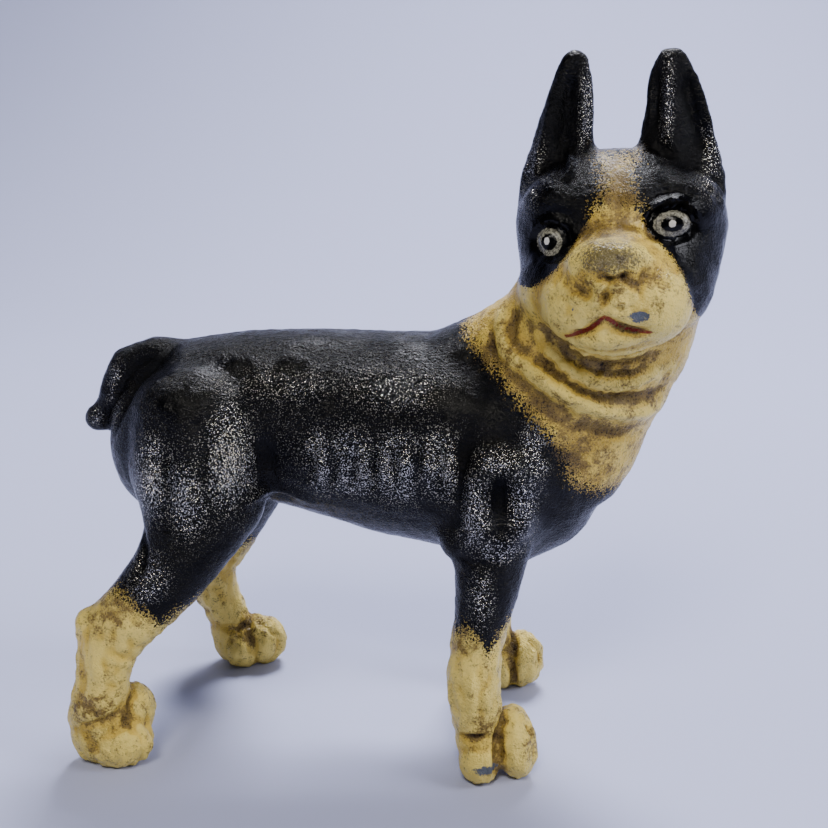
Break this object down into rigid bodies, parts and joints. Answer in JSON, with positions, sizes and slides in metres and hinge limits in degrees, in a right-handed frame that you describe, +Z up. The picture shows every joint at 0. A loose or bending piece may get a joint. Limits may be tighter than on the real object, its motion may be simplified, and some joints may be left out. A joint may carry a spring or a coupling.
{
  "type": "figural animal coin bank",
  "caption": "cast-iron still bank shaped as a standing terrier looking over its shoulder, in two screwed halves that part to let the coins out",
  "frame": {"origin": "centre of the bounding box's footprint, on the plane that the four soles stand on", "axes": "+X the way the animal faces, +Y its left, +Z up"},
  "size_m": [0.1301, 0.0667, 0.141],
  "materials": {
    "painted_iron": "gloss black enamel with a cream face, bib and feet over rough sand-cast iron",
    "screw_steel": "plain steel, dulled with age"
  },
  "bodies": {
    "right_half": {"right_casting": "painted_iron"},
    "left_half": {"left_casting": "painted_iron"},
    "screw": {"assembly_screw": "screw_steel"}
  },
  "joints": [
    {"name": "halves_part", "type": "slide", "parent": "right_half", "child": "left_half", "axis": [0, 1, 0], "range_m": [0, 0.06]},
    {"name": "screw_draw", "type": "slide", "parent": "left_half", "child": "screw", "axis": [0, 1, 0], "range_m": [0, 0.045]}
  ]
}
